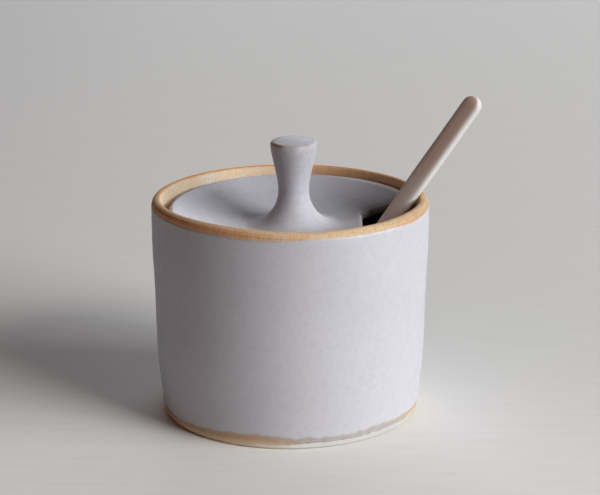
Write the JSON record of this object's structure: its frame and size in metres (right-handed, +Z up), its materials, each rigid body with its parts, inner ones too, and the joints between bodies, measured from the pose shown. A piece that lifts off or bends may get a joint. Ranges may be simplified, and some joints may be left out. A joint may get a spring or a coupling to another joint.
{
  "type": "spice jar",
  "caption": "Round stoneware spice jar with a sunken lid on an inner ledge, a thrown knob, a spoon notch in the lid and a leaning wooden spoon.",
  "frame": {"origin": "centre of the jar's flat foot", "axes": "+Z up along the jar's axis, +X towards the notch in the lid and the way the spoon leans, +Y away from a viewer who has the spoon on the right"},
  "size_m": [0.1062, 0.09, 0.1046],
  "materials": {
    "jar_glaze": "satin-matte lilac-grey glaze, brown where it thins at the rim and foot, bare buff clay in the gallery",
    "lid_glaze": "satin-matte lilac-grey glaze, brown at the knob's edge, bare buff clay at the lid's edge",
    "pale_wood": "carved and sanded pale wood, unvarnished"
  },
  "bodies": {
    "jar": {"jar_body": "jar_glaze"},
    "lid": {"lid": "lid_glaze"},
    "spoon": {"spoon": "pale_wood"}
  },
  "joints": [
    {"name": "lid_lift", "type": "slide", "parent": "jar", "child": "lid", "axis": [0, 0, 1], "range_m": [0, 0.05]},
    {"name": "spoon_draw", "type": "slide", "parent": "jar", "child": "spoon", "axis": [0.5592, 0, 0.829], "range_m": [0, 0.09]}
  ]
}
